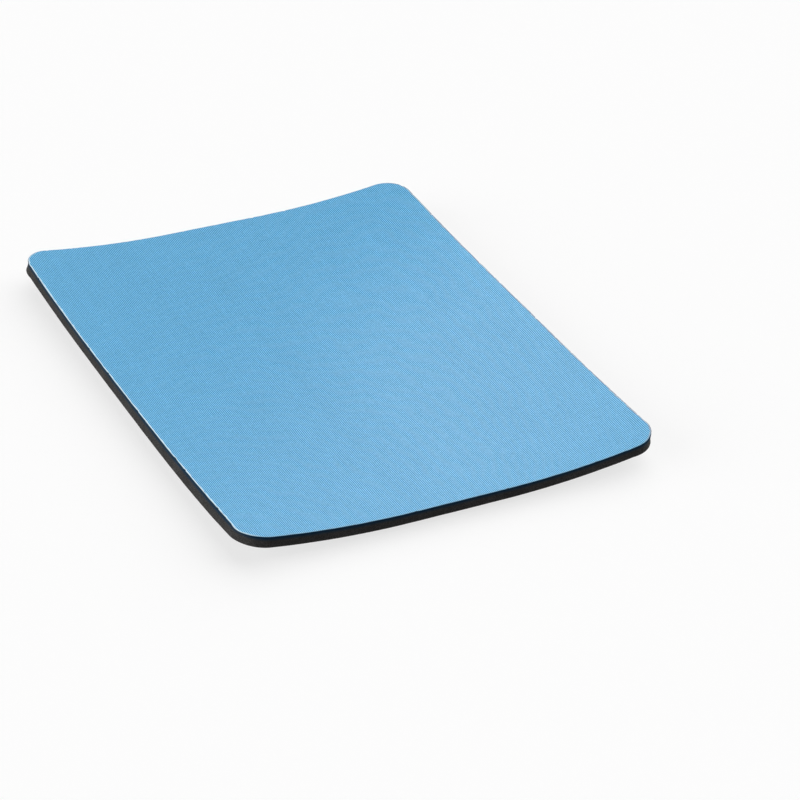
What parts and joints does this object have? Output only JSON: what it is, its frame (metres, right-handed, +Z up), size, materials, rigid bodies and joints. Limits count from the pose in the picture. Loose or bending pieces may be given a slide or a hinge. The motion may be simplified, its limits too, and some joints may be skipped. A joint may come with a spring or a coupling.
{
  "type": "mouse pad",
  "caption": "Small rectangular cloth-topped foam rubber mouse pad with rounded corners and gently curled edges, for a pointing device to slide on.",
  "frame": {"origin": "middle of the flat part of the underside, where the pad rests on the desk", "axes": "+X to the user's right across the width, +Y away from the user along the depth, +Z up out of the cloth"},
  "size_m": [0.1822, 0.2228, 0.0148],
  "materials": {
    "cover_cloth": "fine-knit polyester cloth, dyed sky blue, matt with a slight sheen",
    "adhesive": "thin hot-melt adhesive film, seen only as a dark line at the edge",
    "foam_rubber": "black open-cell foam rubber, die-cut edge with a fine grain"
  },
  "bodies": {
    "root": {"foam_base": "foam_rubber", "adhesive_film": "adhesive", "fabric_cover": "cover_cloth"}
  },
  "joints": []
}
